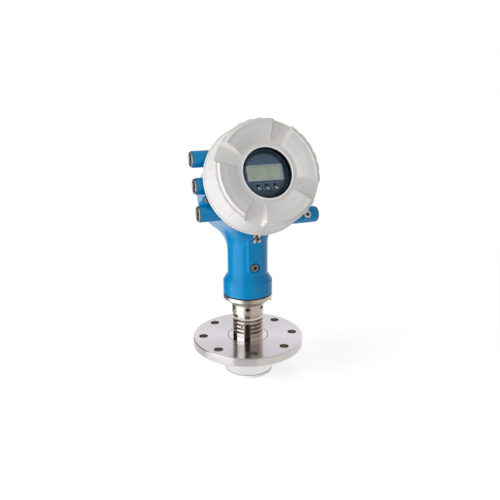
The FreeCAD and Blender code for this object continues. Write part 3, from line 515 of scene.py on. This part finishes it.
SCREEN = moulding("screen_film", SCREEN_GREEN, 0.3)
KEY_FILM = moulding("key_film", (0.030, 0.048, 0.072), 0.4, gloss=0.2)
KEY_PRINT = moulding("key_print", KEY_LINE, 0.4, gloss=0.2)
KEY_LIGHT = moulding("key_light", (0.45, 0.48, 0.50), 0.4, gloss=0.2)
CARRIER = moulding("carrier_plastic", (0.15, 0.16, 0.17), 0.5)
TERMINAL = moulding("terminal_plastic", (0.06, 0.22, 0.12), 0.45)
POTTING = moulding("potting", (0.02, 0.02, 0.022), 0.3)
BOARD = moulding("circuit_board", (0.01, 0.12, 0.05), 0.4)
GLASS = glass("window_glass")
# dark sheets of painted shade, laid in gaps, round holes and in sockets
PAINTED_SHADE = moulding("painted_shadow", (0.03, 0.03, 0.03), 0.6)

NODE_MATERIALS = {
    "flange": STEEL_FLANGE, "neck": STEEL_TURNED, "adapter": STEEL_ADAPTER, "set_screws": STEEL_DARK,
    "bell_seal": RUBBER, "swivel_seal": RUBBER, "retaining_ring": STEEL_SCREW, "waveguide": STEEL_TURNED,
    "radar_module": ALUMINIUM, "horn": STEEL_HORN, "lens": WHITE_PTFE, "lens_seal": RUBBER,
    "housing": PAINT_BLUE, "entry_plugs": STEEL_PLUG, "plug_washers": RUBBER, "lock_screw": STEEL_SHADED,
    "earth_screw": STEEL_SCREW, "pad_screw": STEEL_SHADED, "clamp_plate": STEEL_BRIGHT,
    "clamp_screw": STEEL_SHADED, "front_cover": PAINT_GREY, "front_cover_seal": RUBBER,
    "window_glass": GLASS, "glass_seal": RUBBER, "glass_retainer": BLACK, "display_case": CASE,
    "face_plate": SLATE, "screen_frame": FRAME_GREY, "screen_panel": SCREEN, "touch_keys": KEY_FILM,
    "display_board": BOARD, "carrier": CARRIER, "carrier_screws": STEEL_SCREW, "main_board": BOARD,
    "terminal_block": TERMINAL, "terminal_screws": STEEL_BRIGHT, "rear_cover": PAINT_GREY,
    "rear_cover_seal": RUBBER, "power_module": POTTING, "power_screws": STEEL_SCREW,
}


def dress_nodes():
    for name, material in NODE_MATERIALS.items():
        body = frame["nodes"][name]
        if not body.material_slots:
            body.data.materials.append(material)
        for entry in body.material_slots:
            entry.material = material


def link(name, data):
    piece = bpy.data.objects.new(name, data)
    bpy.context.scene.collection.objects.link(piece)
    return piece


def add_piece(name, form, material, body, frame_matrix=None):
    """Small detail piece that rides a body; its mesh is in millimetres of the given frame."""
    bmesh.ops.scale(form, vec=(MM, MM, MM), verts=form.verts)
    bmesh.ops.recalc_face_normals(form, faces=form.faces)
    mesh = bpy.data.meshes.new(name)
    form.to_mesh(mesh)
    form.free()
    mesh.materials.append(material)
    piece = link(name, mesh)
    if frame_matrix is not None:
        piece.matrix_world = frame_matrix
    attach(piece, body)
    return piece


def shade_smooth(piece):
    for face in piece.data.polygons:
        face.use_smooth = True


def around_point(x, y, radius, count):
    """Corners of a regular outline."""
    turns = [k * math.tau / count for k in range(count)]
    return [(x + radius * math.cos(turn), y + radius * math.sin(turn)) for turn in turns]


def add_box(form, x0, x1, y0, y1, z0, z1):
    corners = bmesh.ops.create_cube(form, size=1.0)["verts"]
    bmesh.ops.scale(form, vec=(x1 - x0, y1 - y0, z1 - z0), verts=corners)
    bmesh.ops.translate(form, vec=((x0 + x1) / 2, (y0 + y1) / 2, (z0 + z1) / 2), verts=corners)


def add_prism(form, outline, z0, z1):
    low = [form.verts.new((x, y, z0)) for x, y in outline]
    high = [form.verts.new((x, y, z1)) for x, y in outline]
    form.faces.new(low[::-1])
    form.faces.new(high)
    for k in range(len(outline)):
        after = (k + 1) % len(outline)
        form.faces.new((low[k], low[after], high[after], high[k]))


def add_band(form, inner, outer, steps, lay):
    """Flat ring whose points are laid on a surface by the function lay(x, y)."""
    for k in range(steps):
        quad = []
        for turn, radius in ((k, inner), (k + 1, inner), (k + 1, outer), (k, outer)):
            angle = turn * math.tau / steps
            quad.append(form.verts.new(lay(radius * math.cos(angle), radius * math.sin(angle))))
        form.faces.new(quad)
    bmesh.ops.remove_doubles(form, verts=form.verts, dist=WELD)


def key_outlines():
    """Thin printed square around each of the three touch keys."""
    form = bmesh.new()
    low, high = KEY_Y - KEY_SQUARE_HALF, KEY_Y + KEY_SQUARE_HALF
    for x in KEY_CENTRES:
        left, right = x - KEY_SQUARE_HALF, x + KEY_SQUARE_HALF
        add_box(form, left, left + KEY_LINE_W, low, high, *PRINT)
        add_box(form, right - KEY_LINE_W, right, low, high, *PRINT)
        add_box(form, left, right, high - KEY_LINE_W, high, *PRINT)
        add_box(form, left, right, low, low + KEY_LINE_W, *PRINT)
    add_piece("key_outlines", form, KEY_PRINT, "head", HEAD)


def key_marks():
    """Generic sign of each key: a dark round sensor field above a pale slanted bar."""
    dots = bmesh.new()
    bars = bmesh.new()
    for x in KEY_CENTRES:
        dot = around_point(x + KEY_DOT[0], KEY_Y + KEY_DOT[1], KEY_DOT_R, KEY_DOT_CORNERS)
        add_prism(dots, dot, *PRINT)
        add_prism(bars, [(x + dx, KEY_Y + dy) for dx, dy in KEY_BAR], *PRINT)
    add_piece("key_sensor_fields", dots, BLACK, "head", HEAD)
    add_piece("key_bars", bars, KEY_LIGHT, "head", HEAD)


def foot_seam_shadow():
    """Painted shadow line: dark ring laid where the neck's foot meets the flange."""
    form = bmesh.new()
    add_band(form, *FOOT_SEAM_SHADOW, lambda x, y: (x, y, FOOT_TOP + LAID))
    add_piece("foot_seam_shadow", form, PAINTED_SHADE, "base")


def on_collar(angle, x, y):
    """Point of the collar beside the set screw at that angle; the outer points spread wider."""
    stretch = RIM_STRETCH if math.hypot(x, y) > SET_SCREW_R else 1.0
    turn = math.radians(angle) + stretch * x / COLLAR_R
    reach = COLLAR_R + LAID
    return reach * math.cos(turn), reach * math.sin(turn), SET_SCREW_Z + y


def set_screw_shade_rims():
    """Dark ring of painted shade round each set screw, wider than it is high and wrapped on the collar."""
    form = bmesh.new()
    for angle in SET_SCREW_ANGLES:
        add_band(form, *SET_SCREW_SHADE_RIM, lambda x, y: on_collar(angle, x, y))
    add_piece("set_screw_shade_rims", form, PAINTED_SHADE, "base")


def clamp_shadow():
    """Painted shade: dark ring on the face of the clamp plate under its four bright lobes."""
    form = bmesh.new()
    x0, y0 = CLAMP_AT
    add_band(form, *CLAMP_DARK, lambda x, y: (x0 + x, y0 + y, CLAMP_FACE + LAID))
    add_piece("clamp_shadow", form, PAINTED_SHADE, "head", FRONT)


def window_rim():
    """Narrow raised ring that frames the window on the front cover, in lighter paint: a painted highlight."""
    form = bmesh.new()
    for (r0, z0), (r1, z1) in zip(WINDOW_RIM, WINDOW_RIM[1:]):
        middle = (r0 + r1) / 2
        add_band(form, r0, r1, WINDOW_RIM_STEPS, lambda x, y: (x, y, z0 if math.hypot(x, y) < middle else z1))
    shade_smooth(add_piece("window_rim", form, RIM_HIGHLIGHT_PAINT, "front_lid", HEAD))


def socket_shades():
    """Painted shade: dark sheet laid on the floor of the hexagon socket of each outer screw."""
    for name, (screw_frame, across_flats, depth) in SOCKETS.items():
        back = screw_frame.inverted()
        spots = [back @ vertex.co / MM for vertex in frame["nodes"][name].data.vertices]
        x = (min(p.x for p in spots) + max(p.x for p in spots)) / 2
        y = (min(p.y for p in spots) + max(p.y for p in spots)) / 2
        low = max(p.z for p in spots) - depth
        corner_r = across_flats / math.sqrt(3) - SOCKET_GAP
        form = bmesh.new()
        add_prism(form, around_point(x, y, corner_r, 6), low + SOCKET_FLOOR[0], low + SOCKET_FLOOR[1])
        add_piece(name + "_socket_shade", form, PAINTED_SHADE, "head", screw_frame)


def ridge_section(root, depth, fade):
    """Radius and height of the ridge's corners, where fade falls from 1 to 0 at the thread's ends."""
    crest = root + depth * max(fade, RIDGE_LOWEST)
    half = abs(depth) * RIDGE_FLANK * max(fade, RIDGE_NARROWEST) + RIDGE_FOOT
    sunk = root - math.copysign(RIDGE_SUNK, depth)
    return (sunk, -half), (crest, -RIDGE_CREST), (crest, RIDGE_CREST), (sunk, half)


def thread(name, root, depth, span, phase, material, body):
    """Right-handed helical ridge between two heights; a negative depth points inward."""
    low, high = span
    steps = round((high - low) / THREAD_PITCH * RIDGE_STEPS)
    form = bmesh.new()
    before = None
    for step in range(steps + 1):
        angle = step * math.tau / RIDGE_STEPS + phase
        z = low + step * THREAD_PITCH / RIDGE_STEPS
        fade = min(1.0, step / RIDGE_FADE, (steps - step) / RIDGE_FADE)
        row = [form.verts.new((r * math.cos(angle), r * math.sin(angle), z + dz))
               for r, dz in ridge_section(root, depth, fade)]
        if before:
            for k in range(len(row) - 1):
                form.faces.new((before[k], before[k + 1], row[k + 1], row[k]))
        before = row
    shade_smooth(add_piece(name, form, material, body, HEAD))


def threads():
    thread("spout_thread", SPOUT_CORE, THREAD_DEPTH, SPOUT_THREAD, 0.0, PAINT_BLUE, "head")
    thread("cover_thread", COVER_BORE, -THREAD_DEPTH, COVER_THREAD, math.pi, PAINT_GREY, "front_lid")
    thread("rear_cover_thread", REAR_CORE, REAR_THREAD_DEPTH, REAR_THREAD, 0.0, PAINT_GREY, "rear_lid")


def details():
    key_outlines()
    key_marks()
    foot_seam_shadow()
    set_screw_shade_rims()
    clamp_shadow()
    window_rim()
    socket_shades()
    threads()


def around(azimuth, distance, height):
    """Point at an azimuth in degrees to the right of the camera's side, seen from the neck axis."""
    turn = math.atan2(CAMERA_AT[1], CAMERA_AT[0]) + math.radians(azimuth)
    return Vector((distance * math.cos(turn), distance * math.sin(turn), height))


def area_light(name, at, size, power):
    """Soft box that lights the object and doesn't show in its metal."""
    lamp = bpy.data.lights.new(name, "AREA")
    lamp.shape = "RECTANGLE"
    lamp.size, lamp.size_y = size
    lamp.energy = power
    holder = link(name, lamp)
    holder.location = at
    holder.rotation_euler = (Vector(LAMP_TARGET) - at).to_track_quat("-Z", "Y").to_euler()
    holder.visible_glossy = False


def glow_material(name, tone):
    """Face that only glows, evenly."""
    material, _, shader = new_material(name)
    shader.inputs["Base Color"].default_value = (0, 0, 0, 1)
    shader.inputs["Specular IOR Level"].default_value = 0.0
    shader.inputs["Emission Color"].default_value = colour(tone)
    shader.inputs["Emission Strength"].default_value = 1.0
    material.cycles.emission_sampling = "NONE"
    return material


def only_in_metal(piece):
    """Staging that shows in polished metal and nowhere else."""
    piece.visible_camera = False
    piece.visible_diffuse = False
    piece.visible_transmission = False
    piece.visible_shadow = False


def card(name, start, stop, low, high, tone):
    """Curved upright card that spans the azimuths from start to stop."""
    steps = round((stop - start) / CARD_STEP)
    points = []
    for step in range(steps + 1):
        azimuth = start + (stop - start) * step / steps
        points.append(around(azimuth, CARD_R, low))
        points.append(around(azimuth, CARD_R, high))
    faces = [(2 * k, 2 * k + 2, 2 * k + 3, 2 * k + 1) for k in range(steps)]
    mesh = bpy.data.meshes.new(name)
    mesh.from_pydata(points, [], faces)
    mesh.materials.append(glow_material(name, tone))
    only_in_metal(link(name, mesh))


def level_sheet(name, radius, height, tone):
    """Round level card: the light floor that the lower steel reflects, or the ceiling."""
    form = bmesh.new()
    bmesh.ops.create_circle(form, cap_ends=True, segments=64, radius=radius)
    mesh = bpy.data.meshes.new(name)
    form.to_mesh(mesh)
    form.free()
    mesh.materials.append(glow_material(name, tone))
    piece = link(name, mesh)
    piece.location.z = height
    only_in_metal(piece)


def studio():
    for name, (spot, size, power) in LAMPS.items():
        area_light(name, around(*spot), size, power)
    for name, values in CARDS.items():
        card(name, *values)
    for name, values in SHEETS.items():
        level_sheet(name, *values)


def seen_directly(tree):
    """1 for camera, mirror and glass rays, which see plain white, and 0 for the light on the object."""
    rays = tree.nodes.new("ShaderNodeLightPath").outputs
    mirrored = maths(tree, "MAXIMUM", rays["Is Camera Ray"], rays["Is Glossy Ray"])
    return maths(tree, "MAXIMUM", mirrored, rays["Is Transmission Ray"])


def world():
    """White background that gives the object only a weak even light."""
    scene_world = bpy.data.worlds.new("studio")
    bpy.context.scene.world = scene_world
    scene_world.use_nodes = True
    tree = scene_world.node_tree
    background = tree.nodes["Background"]
    background.inputs["Color"].default_value = (1, 1, 1, 1)
    tree.links.new(remap(tree, seen_directly(tree), 0, 1, AMBIENT, 1.0), background.inputs["Strength"])


def floor():
    """Pale floor whose own white grows with the distance, so that no horizon shows."""
    mesh = bpy.data.meshes.new("floor")
    corners = ((-1, -1), (1, -1), (1, 1), (-1, 1))
    mesh.from_pydata([(x * FLOOR_HALF, y * FLOOR_HALF, FLOOR_Z) for x, y in corners], [], [(0, 1, 2, 3)])
    piece = link("floor", mesh)
    piece.visible_glossy = False
    material, tree, shader = new_material("floor")
    far = remap(tree, vector_maths(tree, "LENGTH", place(tree)), *FLOOR_FADE, 0.0, 1.0)
    strength = tree.nodes.new("ShaderNodeMix")
    fill, glow = (strength.inputs[k] for k in MIX_NUMBERS)
    fill.default_value = FLOOR_FILL
    tree.links.new(seen_directly(tree), strength.inputs[MIX_FACTOR])
    tree.links.new(remap(tree, far, 0, 1, FLOOR_GLOW, 1.0), glow)
    shader.inputs["Roughness"].default_value = 0.9
    shader.inputs["Specular IOR Level"].default_value = 0.0
    shader.inputs["Emission Color"].default_value = (1, 1, 1, 1)
    tree.links.new(mixed(tree, far, FLOOR_TONE, FLOOR_FAR_TONE), shader.inputs["Base Color"])
    tree.links.new(strength.outputs[0], shader.inputs["Emission Strength"])
    mesh.materials.append(material)


def camera():
    data = bpy.data.cameras.new("camera")
    data.lens = CAMERA_LENS
    data.sensor_width = CAMERA_SENSOR
    holder = link("camera", data)
    ahead = Vector(CAMERA_LOOK).normalized()
    level = ahead.cross(Vector((0, 0, 1))).normalized()
    upward = level.cross(ahead)
    right = level * math.cos(CAMERA_ROLL) + upward * math.sin(CAMERA_ROLL)
    above = right.cross(ahead)
    turn = Matrix((right, above, -ahead)).transposed()
    holder.matrix_world = Matrix.Translation(CAMERA_AT) @ turn.to_4x4()
    bpy.context.scene.camera = holder


dress_nodes()
details()
studio()
world()
floor()
camera()
bpy.context.scene.view_settings.view_transform = "Standard"
